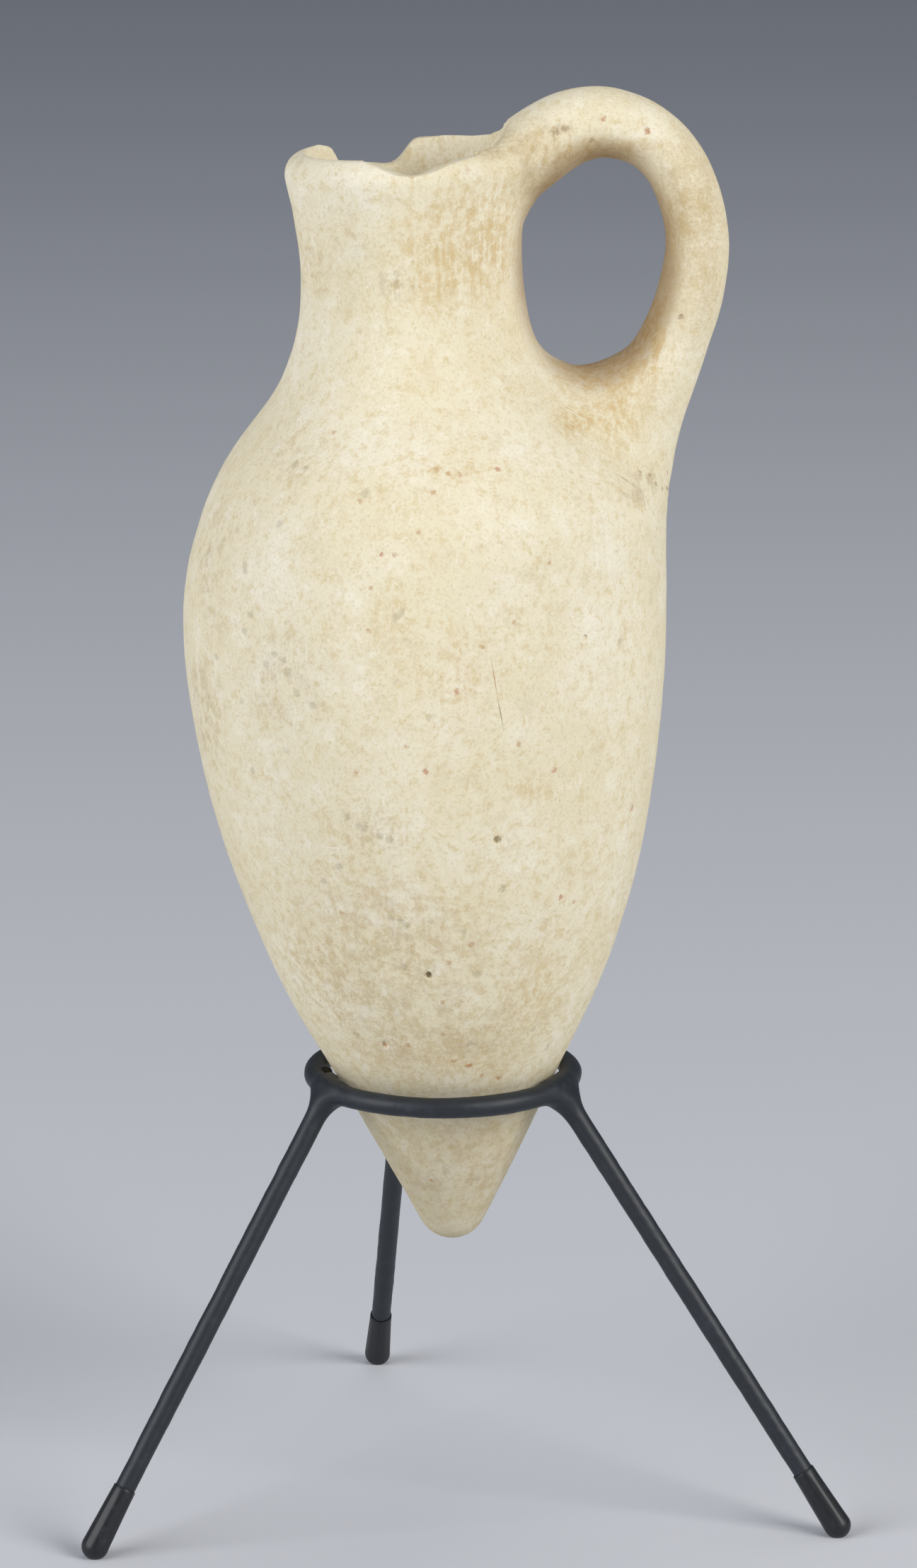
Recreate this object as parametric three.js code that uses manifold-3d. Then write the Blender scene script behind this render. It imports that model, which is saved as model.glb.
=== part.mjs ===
import * as THREE from "three";
import { mergeVertices } from "three/addons/utils/BufferGeometryUtils.js";
import Module from "manifold-3d";

// A hand-made dipper juglet of fired clay, held upright by a three-legged rod stand.
// Millimetres, +Z up, standing on z = 0. The handle points along +X.

// Stand: a welded ring with three splayed legs of the same rod, a domed cap on each foot
const rodRadius = 1.55;
const ringRadius = 19.15;
const ringHeight = 65.1;
const ringCentre = [-3.67, -11.66];
const legs = [
  { side: "left", footRadius: 60.4, footAzimuth: 210.8, ringAzimuth: 209.2 },
  { side: "right", footRadius: 63.4, footAzimuth: -20.4, ringAzimuth: -27 },
  { side: "rear", footRadius: 58.7, footAzimuth: 100.5, ringAzimuth: 107 },
];

// Weld under the ring, as distance along the leg from the ring's centre line and radius
const weldOutline = [
  [7, 1.55],
  [3.5, 1.75],
  [1.55, 2.3],
  [0, 1.4],
  [0, 0],
];

// Foot caps: a blind socket takes the leg's narrower end, a spigot
const capLength = 11.5;
const capFootRadius = 2.1;
const capMouthRadius = 1.85;
const spigotRadius = 1.1;
const pieceGap = 0.3;

// Juglet: the tip of its pointed base, and how far its axis leans away from the handle
const tip = [1.55, 0, 39.4];
const leanDegrees = 2.7;
const rimHeight = 164;
const tipNoseRadius = 5.3;

// Outside of the body: height above the tip, radius, and how far the section is pushed
// towards the handle, where clay from the handle's root was smeared over the shoulder
const outsideStations = [
  [3.2, 4.9, 0.1],
  [10, 8.4, 0.35],
  [25, 15.95, 0.45],
  [40, 23.6, 0.5],
  [55, 29.05, 0.4],
  [70, 32.7, 0.2],
  [85, 34.9, 0.15],
  [96, 35.4, 0.35],
  [104, 35.0, 1.0],
  [110, 34.2, 2.0],
  [115, 32.6, 2.4],
  [121, 28.6, 2.0],
  [129, 21.3, 1.2],
  [135, 17.85, 0.75],
  [141, 16.3, 0.75],
  [148, 15.85, 0.75],
  [156, 16.6, 0.75],
];

// Lip: outer edge, top and inner edge, as height below the rim and radius
const lipSection = [
  [3.2, 17.15],
  [1.6, 17.3],
  [0.4, 16.6],
  [0, 15.5],
];

// Inside of the body, from the hollow's floor to the mouth, and the flare above the rim
// that slopes the handle's root down into the mouth
const insideStations = [
  [11, 2.6],
  [25, 11.0],
  [40, 18.7],
  [55, 24.6],
  [70, 28.5],
  [85, 30.8],
  [97, 31.3],
  [106, 30.0],
  [113, 27.4],
  [120, 22.6],
  [128, 17.0],
  [135, 13.6],
  [145, 12.3],
  [155, 13.0],
  [162.3, 13.7],
];
const hollowFloor = 9;
const mouthFlare = [
  [164.3, 15.2],
  [172, 21],
];
const hollowShift = 0.75;

// Worn and broken places on the rim: direction, half width, depth and length of each end's slope
const rimBreaks = [
  { azimuth: 113, halfWidth: 19, depth: 4.4, slope: 5 },
  { azimuth: -90, halfWidth: 6, depth: 2.4, slope: 22 },
];
const breakReach = 9;

// Handle: centre line in the plane of the ring's axis, half thickness and half width
const handleStations = [
  [8.0, 198.5, 5.5, 9.0],
  [13.2, 202.9, 5.8, 8.4],
  [18.4, 206.0, 5.5, 7.2],
  [24.0, 206.7, 5.2, 6.4],
  [29.9, 204.5, 4.85, 6.2],
  [34.35, 199.3, 4.7, 6.2],
  [36.75, 190.8, 4.6, 6.2],
  [36.0, 182.8, 4.8, 6.3],
  [33.9, 176.3, 5.0, 6.6],
  [31.4, 170.9, 5.9, 7.2],
  [27.8, 166.1, 8.4, 8.6],
  [23.8, 161.5, 12.0, 10.2],
  [19.0, 156.0, 12.5, 9.5],
];

// Facets
const bodySides = 48;
const bodySeam = 0.03;
const hollowSides = 32;
const hollowSeam = 0.05;
const stationSteps = 2;
const noseSteps = 4;
const handleSides = 18;
const handleSteps = 26;
const ringSides = 12;
const ringSteps = 48;
const legSides = 12;
const capSides = 16;
const domeSteps = 4;

const wasm = await Module();
wasm.setup();

const toRadians = THREE.MathUtils.degToRad;

// Merges a geometry's shared corners and makes it a solid
function solidOf(geometry) {
  geometry.deleteAttribute("normal");
  geometry.deleteAttribute("uv");
  const merged = mergeVertices(geometry);
  return new wasm.Manifold(new wasm.Mesh({
    numProp: 3,
    vertProperties: new Float32Array(merged.attributes.position.array),
    triVerts: new Uint32Array(merged.index.array),
  }));
}

// Turns a solid back into a geometry
function geometryOf(solid) {
  const mesh = solid.getMesh();
  const geometry = new THREE.BufferGeometry();
  geometry.setAttribute("position", new THREE.BufferAttribute(mesh.vertProperties, 3));
  geometry.setIndex(new THREE.BufferAttribute(mesh.triVerts, 1));
  geometry.computeVertexNormals();
  return geometry;
}

function namedMesh(name, solid, material) {
  const mesh = new THREE.Mesh(geometryOf(solid), material);
  mesh.name = name;
  return mesh;
}

// Smooth curve through stations of any number of values, sampled between them
function smoothStations(stations, steps) {
  const samples = [];
  const last = stations.length - 1;
  for (let i = 0; i < last; i++) {
    const before = stations[Math.max(i - 1, 0)];
    const after = stations[Math.min(i + 2, last)];
    for (let step = 0; step < steps; step++) {
      const t = step / steps;
      samples.push(stations[i].map((value, k) => {
        const next = stations[i + 1][k];
        const slopeIn = (next - before[k]) / 2;
        const slopeOut = (after[k] - value) / 2;
        const a = 2 * value - 2 * next + slopeIn + slopeOut;
        const b = 3 * next - 3 * value - 2 * slopeIn - slopeOut;
        return ((a * t + b) * t + slopeIn) * t + value;
      }));
    }
  }
  samples.push(stations[last]);
  return samples;
}

// Value of one column of the stations at a height
function columnAt(stations, height, column) {
  const upper = stations.findIndex((station) => station[0] >= height);
  if (upper < 0) return stations[stations.length - 1][column];
  if (upper === 0) return stations[0][column];
  const [low, high] = [stations[upper - 1], stations[upper]];
  const t = (height - low[0]) / (high[0] - low[0]);
  return low[column] + t * (high[column] - low[column]);
}

// How far the rim is worn or broken down in a direction
function breakDepth(azimuth) {
  let depth = 0;
  for (const place of rimBreaks) {
    const away = azimuth - toRadians(place.azimuth);
    const turn = Math.abs(Math.atan2(Math.sin(away), Math.cos(away)));
    const beyond = THREE.MathUtils.radToDeg(turn) - place.halfWidth;
    depth += place.depth * (1 - THREE.MathUtils.smoothstep(beyond, 0, place.slope));
  }
  return depth;
}

// Closed solid of revolution about +Z from heights and radii, its first facet edge turned by seam
function turnedGeometry(outline, sides, seam = 0) {
  const points = outline.map(([height, radius]) => new THREE.Vector2(radius, height));
  const geometry = new THREE.LatheGeometry(points, sides, seam);
  geometry.rotateX(Math.PI / 2);
  return geometry;
}

// Places a shape that was turned about +Z onto the juglet's leaning axis
function leanOnAxis(geometry) {
  geometry.rotateY(-toRadians(leanDegrees));
  geometry.translate(...tip);
  return geometry;
}

// Moves each corner of a geometry by a function of its place
function moveCorners(geometry, move) {
  const position = geometry.attributes.position;
  for (let i = 0; i < position.count; i++) {
    position.setXYZ(i, ...move(position.getX(i), position.getY(i), position.getZ(i)));
  }
  return geometry;
}

function bodySolid() {
  const samples = smoothStations(outsideStations, stationSteps);
  const nose = [];
  for (let step = 0; step < noseSteps; step++) {
    const angle = (step / noseSteps) * Math.acos(1 - samples[0][0] / tipNoseRadius);
    nose.push([tipNoseRadius * (1 - Math.cos(angle)), tipNoseRadius * Math.sin(angle)]);
  }
  const lip = lipSection.map(([below, radius]) => [rimHeight - below, radius]);
  const outline = [...nose, ...samples.map(([height, radius]) => [height, radius]), ...lip, [rimHeight, 0]];
  const geometry = turnedGeometry(outline, bodySides, bodySeam);
  moveCorners(geometry, (x, y, z) => {
    const nearRim = Math.max(0, (z - rimHeight + breakReach) / breakReach);
    const drop = breakDepth(Math.atan2(y, x)) * nearRim;
    return [x + columnAt(samples, z, 2), y, z - drop];
  });
  return solidOf(leanOnAxis(geometry));
}

function hollowSolid() {
  const samples = smoothStations(insideStations, stationSteps);
  const top = mouthFlare[mouthFlare.length - 1][0];
  const outline = [[hollowFloor, 0], ...samples, ...mouthFlare, [top, 0]];
  const geometry = turnedGeometry(outline, hollowSides, hollowSeam);
  geometry.translate(hollowShift, 0, 0);
  return solidOf(leanOnAxis(geometry));
}

// Oval sections swept along the handle's centre line, closed at both ends
function handleSolid() {
  const curve = new THREE.CatmullRomCurve3(
    handleStations.map(([x, z]) => new THREE.Vector3(x, 0, z)), false, "centripetal");
  const corners = [];
  const triangles = [];
  const sizeAt = (t, column) => {
    const place = t * (handleStations.length - 1);
    const low = Math.min(Math.floor(place), handleStations.length - 2);
    return THREE.MathUtils.lerp(handleStations[low][column], handleStations[low + 1][column], place - low);
  };
  for (let step = 0; step <= handleSteps; step++) {
    const t = step / handleSteps;
    const centre = curve.getPoint(t);
    const along = curve.getTangent(t);
    const outward = new THREE.Vector3(-along.z, 0, along.x);
    for (let side = 0; side < handleSides; side++) {
      const turn = (side / handleSides) * 2 * Math.PI;
      const thick = sizeAt(t, 2) * Math.cos(turn);
      const wide = sizeAt(t, 3) * Math.sin(turn);
      corners.push(centre.x + outward.x * thick, wide, centre.z + outward.z * thick);
    }
  }
  for (let step = 0; step < handleSteps; step++) {
    for (let side = 0; side < handleSides; side++) {
      const a = step * handleSides + side;
      const b = step * handleSides + ((side + 1) % handleSides);
      triangles.push(a, a + handleSides, b, b, a + handleSides, b + handleSides);
    }
  }
  const last = handleSteps * handleSides;
  for (let side = 1; side < handleSides - 1; side++) {
    triangles.push(0, side, side + 1, last, last + side + 1, last + side);
  }
  const geometry = new THREE.BufferGeometry();
  geometry.setAttribute("position", new THREE.Float32BufferAttribute(corners, 3));
  geometry.setIndex(triangles);
  return solidOf(geometry);
}

function jugletSolid() {
  return bodySolid().add(handleSolid()).subtract(hollowSolid());
}

function placeAround(radius, azimuth, height) {
  const turn = toRadians(azimuth);
  return new THREE.Vector3(radius * Math.cos(turn), radius * Math.sin(turn), height);
}

// Where a leg's axis meets the floor and the ring, relative to the ring's centre
function legEnds(leg) {
  const foot = placeAround(leg.footRadius, leg.footAzimuth, 0);
  const top = placeAround(ringRadius, leg.ringAzimuth, ringHeight);
  return { foot, top };
}

// Places a shape that was turned about +Z onto a leg, from its foot upwards
function placeOnLeg(geometry, leg) {
  const { foot, top } = legEnds(leg);
  const along = top.sub(foot).normalize();
  const turn = new THREE.Quaternion().setFromUnitVectors(new THREE.Vector3(0, 0, 1), along);
  geometry.applyQuaternion(turn);
  geometry.translate(foot.x, foot.y, foot.z);
  return geometry;
}

function legSolid(leg) {
  const { foot, top } = legEnds(leg);
  const length = foot.distanceTo(top);
  const spigotEnd = capFootRadius + pieceGap;
  const shoulder = capLength + pieceGap;
  const outline = [
    [spigotEnd, 0],
    [spigotEnd, spigotRadius],
    [shoulder, spigotRadius],
    [shoulder, rodRadius],
    ...weldOutline.map(([below, radius]) => [length - below, radius]),
  ];
  return solidOf(placeOnLeg(turnedGeometry(outline, legSides), leg));
}

function standSolid() {
  const ring = new THREE.TorusGeometry(ringRadius, rodRadius, ringSides, ringSteps);
  ring.translate(0, 0, ringHeight);
  return legs.reduce((frame, leg) => frame.add(legSolid(leg)), solidOf(ring));
}

// Domed cap with a blind socket over the leg's spigot, worn flat where it meets the floor
function capSolid(leg) {
  const dome = [];
  for (let step = 0; step <= domeSteps; step++) {
    const angle = (step / domeSteps) * (Math.PI / 2);
    dome.push([capFootRadius * (1 - Math.cos(angle)), capFootRadius * Math.sin(angle)]);
  }
  const outline = [
    ...dome,
    [capLength, capMouthRadius],
    [capLength, spigotRadius + pieceGap],
    [capFootRadius, spigotRadius + pieceGap],
    [capFootRadius, 0],
  ];
  const floorSpan = 4 * leg.footRadius;
  const floor = new THREE.BoxGeometry(floorSpan, floorSpan, capLength);
  floor.translate(0, 0, -capLength / 2);
  return solidOf(placeOnLeg(turnedGeometry(outline, capSides), leg)).subtract(solidOf(floor));
}

const clay = new THREE.MeshStandardMaterial({ color: 0xe1d8b9, roughness: 0.85, metalness: 0 });
const blackCoating = new THREE.MeshStandardMaterial({ color: 0x2e3338, roughness: 0.6, metalness: 0 });
const blackRubber = new THREE.MeshStandardMaterial({ color: 0x24282b, roughness: 0.5, metalness: 0 });

const jugletOnStand = new THREE.Group();
jugletOnStand.add(namedMesh("juglet", jugletSolid(), clay));
jugletOnStand.add(namedMesh("stand_frame", standSolid(), blackCoating));
for (const leg of legs) {
  jugletOnStand.add(namedMesh(`foot_cap_${leg.side}`, capSolid(leg), blackRubber));
}
jugletOnStand.position.set(ringCentre[0], ringCentre[1], 0);

export default jugletOnStand;
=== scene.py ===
import sys
import math

import bmesh
import bpy
import numpy as np
from mathutils import Matrix, Vector, noise
from mathutils.bvhtree import BVHTree


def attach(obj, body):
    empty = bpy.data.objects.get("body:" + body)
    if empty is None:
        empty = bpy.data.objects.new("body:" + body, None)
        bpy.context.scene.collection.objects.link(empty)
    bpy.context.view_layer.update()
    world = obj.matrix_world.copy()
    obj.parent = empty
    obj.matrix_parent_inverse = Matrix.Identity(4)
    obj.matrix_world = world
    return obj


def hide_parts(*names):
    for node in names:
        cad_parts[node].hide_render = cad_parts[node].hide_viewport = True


# An ancient dipper juglet of cream fired clay, held upright by its black rod stand.
# Sizes are in millimetres and are turned into metres when a mesh is made.

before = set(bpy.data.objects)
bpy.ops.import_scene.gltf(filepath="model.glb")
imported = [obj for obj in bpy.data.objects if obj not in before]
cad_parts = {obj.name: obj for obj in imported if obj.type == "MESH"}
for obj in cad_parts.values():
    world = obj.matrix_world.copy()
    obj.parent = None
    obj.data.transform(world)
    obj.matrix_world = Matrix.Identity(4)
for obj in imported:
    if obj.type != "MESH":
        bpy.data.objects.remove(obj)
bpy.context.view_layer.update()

mm = 0.001


# Small mesh helpers

def smoothStations(stations, spacing):
    # a soft curve through the stations, with points about the given distance apart
    points = np.array(stations, float)
    last = len(points) - 1
    samples = []
    for i in range(last):
        before, after = points[max(i - 1, 0)], points[min(i + 2, last)]
        here, there = points[i], points[i + 1]
        slopeIn, slopeOut = (there - before) / 2, (after - here) / 2
        count = max(1, round(float(np.linalg.norm((there - here)[:2])) / spacing))
        for t in np.arange(count) / count:
            a = 2 * here - 2 * there + slopeIn + slopeOut
            b = 3 * there - 3 * here - 2 * slopeIn - slopeOut
            samples.append(((a * t + b) * t + slopeIn) * t + here)
    samples.append(points[last])
    return np.array(samples)


def poleDrop(first, second):
    # how far a rounded nose still drops from its first row to its tip
    return first[1] * 0.25 if second[1] > first[1] else 0.0


def turned(outline, sides):
    # outline rows are height and radius; a pole closes the first row and another the last
    turns = np.arange(sides) * 2 * math.pi / sides
    verts = [(r * math.cos(t), r * math.sin(t), h) for h, r in outline for t in turns]
    faces = []
    for row in range(len(outline) - 1):
        for side in range(sides):
            a, b = row * sides + side, row * sides + (side + 1) % sides
            faces.append((a, b, b + sides, a + sides))
    start = len(verts) - sides
    verts += [(0, 0, outline[0][0] - poleDrop(*outline[:2])), (0, 0, outline[-1][0])]
    faces += [((side + 1) % sides, side, len(verts) - 2) for side in range(sides)]
    faces += [(start + side, start + (side + 1) % sides, len(verts) - 1) for side in range(sides)]
    return np.array(verts, float), faces


def swept(centres, across, wide, thickness, width, sides):
    # oval sections along a line; across and wide are the section's unit directions
    turns = np.arange(sides) * 2 * math.pi / sides
    verts = []
    for centre, side, outward, thick, broad in zip(centres, wide, across, thickness, width):
        for t in turns:
            verts.append(centre + outward * thick * math.cos(t) + side * broad * math.sin(t))
    faces = []
    for row in range(len(centres) - 1):
        for k in range(sides):
            a, b = row * sides + k, row * sides + (k + 1) % sides
            faces.append((a, a + sides, b + sides, b))
    start = (len(centres) - 1) * sides
    verts += [centres[0], centres[-1]]
    for k in range(sides):
        faces.append((k, (k + 1) % sides, start + sides))
        faces.append((start + (k + 1) % sides, start + k, start + sides + 1))
    return np.array(verts, float), faces


def makeObject(name, verts, faces, material=None):
    mesh = bpy.data.meshes.new(name)
    mesh.from_pydata([tuple(v) for v in np.asarray(verts, float) * mm], [], faces)
    mesh.update()
    thing = bpy.data.objects.new(name, mesh)
    bpy.context.scene.collection.objects.link(thing)
    if material:
        mesh.materials.append(material)
    return thing


def combine(thing, other, operation):
    cut = thing.modifiers.new(operation, "BOOLEAN")
    cut.operation = operation
    cut.solver = "MANIFOLD"
    cut.object = other
    applyModifiers(thing)
    bpy.data.objects.remove(other)


def applyModifiers(thing):
    graph = bpy.context.evaluated_depsgraph_get()
    mesh = bpy.data.meshes.new_from_object(thing.evaluated_get(graph))
    thing.modifiers.clear()
    old = thing.data
    thing.data = mesh
    bpy.data.meshes.remove(old)


def triangulate(thing):
    work = bmesh.new()
    work.from_mesh(thing.data)
    bmesh.ops.dissolve_degenerate(work, dist=0.005 * mm, edges=work.edges)
    bmesh.ops.triangulate(work, faces=[f for f in work.faces if len(f.verts) > 4])
    work.to_mesh(thing.data)
    work.free()
    thing.data.update()


def getPoints(thing):
    points = np.empty(len(thing.data.vertices) * 3)
    thing.data.vertices.foreach_get("co", points)
    return points.reshape(-1, 3) / mm


def setPoints(thing, points):
    thing.data.vertices.foreach_set("co", (np.asarray(points) * mm).ravel())
    thing.data.update()


def getNormals(thing):
    normals = np.empty(len(thing.data.vertices) * 3)
    thing.data.vertices.foreach_get("normal", normals)
    return normals.reshape(-1, 3)


def getEdges(thing):
    edges = np.empty(len(thing.data.edges) * 2, int)
    thing.data.edges.foreach_get("vertices", edges)
    return edges.reshape(-1, 2)


def relax(points, edges, weight, rounds):
    # pulls each point towards the middle of its neighbours, by its weight
    ends = np.concatenate([edges[:, 0], edges[:, 1]])
    others = np.concatenate([edges[:, 1], edges[:, 0]])
    keep = weight[ends] > 0
    ends, others = ends[keep], others[keep]
    count = np.maximum(np.bincount(ends, minlength=len(points)), 1)
    for _ in range(rounds):
        for axis in range(3):
            mean = np.bincount(ends, points[others, axis], len(points)) / count
            points[:, axis] += np.where(weight > 0, weight * 0.5 * (mean - points[:, axis]), 0)
    return points


def smoothStep(value, low, high):
    t = np.clip((np.asarray(value, float) - low) / (high - low), 0, 1)
    return t * t * (3 - 2 * t)


def noiseAt(points, size, seed=0):
    # soft noise with blobs of about the given size; size may be one number or one for each axis
    scaled = points / np.asarray(size, float) + seed * 17.3
    return np.array([noise.noise(Vector(p)) for p in scaled])


def unevenness(points, layers):
    # each layer is a blob size, a seed and an amount
    return sum(amount * noiseAt(points, size, seed) for size, seed, amount in layers)


def surfaceTree(thing):
    return BVHTree.FromPolygons([v.co.copy() for v in thing.data.vertices],
                                [tuple(p.vertices) for p in thing.data.polygons])


def nearest(tree, points):
    # signed distance to a closed surface, below 0 inside, and the direction away from it
    distance, away = np.empty(len(points)), np.empty((len(points), 3))
    for i, p in enumerate(points):
        p = Vector(p) * mm
        place, normal, _, gap = tree.find_nearest(p)
        inside = (p - place).dot(normal) < 0
        distance[i] = -gap / mm if inside else gap / mm
        away[i] = (p - place).normalized() * (-1 if inside else 1) if gap > 0.02 * mm else normal
    return distance, away


def awayFrom(points, line, radius):
    # the same for a round rod, from the nearest points of its centre line
    apart = points - line
    length = np.maximum(np.linalg.norm(apart, axis=1), 1e-6)
    return length - radius, apart / length[:, None]


def joinSmoothly(points, edges, chosen, first, second, reach, parallel=0.0, rounds=7, pull=0.7):
    # moves the chosen points of a union to where its two surfaces run into each other softly
    weight = np.zeros(len(points))
    weight[chosen] = pull
    for turn in range(rounds):
        if turn < rounds - 1:
            relax(points, edges, weight, 3)
        near = points[chosen]
        (a, awayA), (b, awayB) = first(near), second(near)
        crossing = smoothStep(1 - (awayA * awayB).sum(1), 0.0, 0.6)
        size = reach * (parallel + (1 - parallel) * crossing) + 0.01
        share = np.clip(0.5 + 0.5 * (b - a) / size, 0, 1)
        distance = b * (1 - share) + a * share - size * share * (1 - share)
        toward = awayA * share[:, None] + awayB * (1 - share)[:, None]
        toward /= np.maximum(np.linalg.norm(toward, axis=1), 0.3)[:, None]
        points[chosen] = near - toward * distance[:, None]
    return points


# Camera

view = {
    "imageSize": (1296, 2216),
    "place": (-3.67, -824.46, 298.8),
    "down": 13.13,          # degrees below level
    "turn": 0.165,          # degrees towards +X
    "lens": 130.0,
    "sensor": 36.0,
    "clip": (0.05, 50.0),   # metres
}


def makeCamera():
    camera = bpy.data.objects.new("camera", bpy.data.cameras.new("camera"))
    bpy.context.scene.collection.objects.link(camera)
    camera.data.lens = view["lens"]
    camera.data.sensor_width = view["sensor"]
    camera.data.dof.use_dof = False
    camera.data.clip_start, camera.data.clip_end = view["clip"]
    camera.location = Vector(view["place"]) * mm
    camera.rotation_euler = (math.radians(90 - view["down"]), 0, math.radians(-view["turn"]))
    bpy.context.scene.camera = camera
    bpy.context.view_layer.update()
    return camera


def rayThrough(pixel):
    # start and direction, in metres, of the line of sight through a pixel of the photograph
    wide, high = view["imageSize"]
    focal = view["lens"] / view["sensor"] * high
    turn = Matrix.Rotation(math.radians(-view["turn"]), 3, "Z")
    tilt = Matrix.Rotation(math.radians(90 - view["down"]), 3, "X")
    ahead = turn @ tilt @ Vector((pixel[0] - wide / 2, high / 2 - pixel[1], -focal))
    return Vector(view["place"]) * mm, ahead.normalized()


def surfaceAt(tree, pixel):
    # point and outward normal, in millimetres, where the line of sight meets a surface
    start, ahead = rayThrough(pixel)
    point, normal, _, _ = tree.ray_cast(start, ahead)
    if point is None:
        sys.exit(f"no surface at pixel {pixel}")
    return point / mm, normal


# Shader helper

class Wire:
    # one output of a material's nodes; sums and products of wires add Math nodes
    def __init__(self, tree, socket):
        self.tree = tree
        self.socket = socket

    def node(self, kind, settings, values, output=0):
        made = self.tree.nodes.new(kind)
        for name, value in settings.items():
            setattr(made, name, value)
        for name, value in values.items():
            if isinstance(value, Wire):
                self.tree.links.new(value.socket, made.inputs[name])
            else:
                made.inputs[name].default_value = value
        return Wire(self.tree, made.outputs[output])

    def math(self, operation, *values):
        return self.node("ShaderNodeMath", {"operation": operation}, dict(enumerate(values)))

    def __add__(self, other):
        return self.math("ADD", self, other)

    def __radd__(self, other):
        return self.math("ADD", other, self)

    def __sub__(self, other):
        return self.math("SUBTRACT", self, other)

    def __rsub__(self, other):
        return self.math("SUBTRACT", other, self)

    def __mul__(self, other):
        return self.math("MULTIPLY", self, other)

    def __rmul__(self, other):
        return self.math("MULTIPLY", other, self)

    def least(self, other):
        return self.math("MINIMUM", self, other)

    def size(self):
        return self.math("ABSOLUTE", self)

    def rise(self, low, high):
        # smooth step from 0 at low to 1 at high
        settings = {"interpolation_type": "SMOOTHSTEP"}
        return self.node("ShaderNodeMapRange", settings, {0: self, 1: low, 2: high})

    def vector(self, operation, other, output="Vector"):
        return self.node("ShaderNodeVectorMath", {"operation": operation}, {0: self, 1: other}, output)

    def stretched(self, x, y, z):
        return self.vector("MULTIPLY", (x, y, z))

    def part(self, axis):
        return self.node("ShaderNodeSeparateXYZ", {}, {0: self}, axis)

    def cloud(self, size, detail=2.0, rough=0.5, output="Fac"):
        # noise whose blobs are about size millimetres across
        values = {"Vector": self, "Scale": 1 / size, "Detail": detail, "Roughness": rough}
        return self.node("ShaderNodeTexNoise", {}, values, output)

    def dots(self, spacing, radius, share, soft=0.5):
        # round spots of uneven size, one at most in each cell of a random pattern
        cell = self.node("ShaderNodeTexVoronoi", {}, {"Vector": self, "Scale": 1 / spacing})
        random = Wire(self.tree, cell.socket.node.outputs["Color"])
        size = (0.35 + random.part(0)) * (radius / spacing)
        present = random.part(1).rise(1 - share, 1 - 0.6 * share)
        return (size - cell).rise(0, soft * radius / spacing) * present

    def nearest(self, points, radius):
        # 1 within the radius of any of the points
        away = self.vector("DISTANCE", points[0], "Value")
        for point in points[1:]:
            away = away.least(self.vector("DISTANCE", point, "Value"))
        return 1 - away.rise(radius * 0.55, radius * 1.45)

    def nearLine(self, start, end, width):
        along = np.array(end) - np.array(start)
        fromStart = self.vector("SUBTRACT", start)
        share = fromStart.vector("DOT_PRODUCT", tuple(along / along.dot(along)), "Value")
        share = share.node("ShaderNodeClamp", {}, {0: share})
        foot = share.node("ShaderNodeCombineXYZ", {}, {0: share, 1: share, 2: share}).stretched(*along)
        away = fromStart.vector("DISTANCE", foot, "Value")
        taper = width * (1.15 - (share - 0.5).size() * 1.8)
        return (taper - away).rise(-0.4 * width, 0.6 * width)

    def zone(self, middle, across, upward, amount):
        # a soft patch round a point, deep enough to reach through the wall
        offset = self.vector("SUBTRACT", middle).vector("DIVIDE", (across, 9.0, upward))
        return offset.vector("LENGTH", (0, 0, 0), "Value").rise(1.5, 0.3) * amount

    def tinted(self, mask, code, strength=1.0):
        # this colour, painted over with another where the mask is 1
        amount = mask * strength if strength != 1.0 else mask
        settings = {"data_type": "RGBA"}
        return self.node("ShaderNodeMix", settings, {0: amount, 6: self, 7: paint(code)}, 2)

    def bumped(self, strength, depth):
        values = {"Height": self, "Strength": strength, "Distance": depth * mm}
        return self.node("ShaderNodeBump", {}, values)

    def between(self, first, second):
        # from the first colour at 0 to the second at 1
        values = {0: self, 6: paint(first), 7: paint(second)}
        return self.node("ShaderNodeMix", {"data_type": "RGBA"}, values, 2)


def paint(code):
    # hexadecimal screen colour as the linear colour that a shader takes
    parts = [int(code[i:i + 2], 16) / 255 for i in (0, 2, 4)]
    return (*[c / 12.92 if c <= 0.04045 else ((c + 0.055) / 1.055) ** 2.4 for c in parts], 1.0)


def newMaterial(name):
    material = bpy.data.materials.new(name)
    material.use_nodes = True
    tree = material.node_tree
    shader = tree.nodes["Principled BSDF"]
    coordinates = Wire(tree, tree.nodes.new("ShaderNodeTexCoord").outputs["Object"])
    return material, shader, coordinates.vector("DIVIDE", (mm, mm, mm))


def link(shader, wires):
    for name, wire in wires.items():
        wire.tree.links.new(wire.socket, shader.inputs[name])


# Clay material, with what the photograph shows on it

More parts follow.
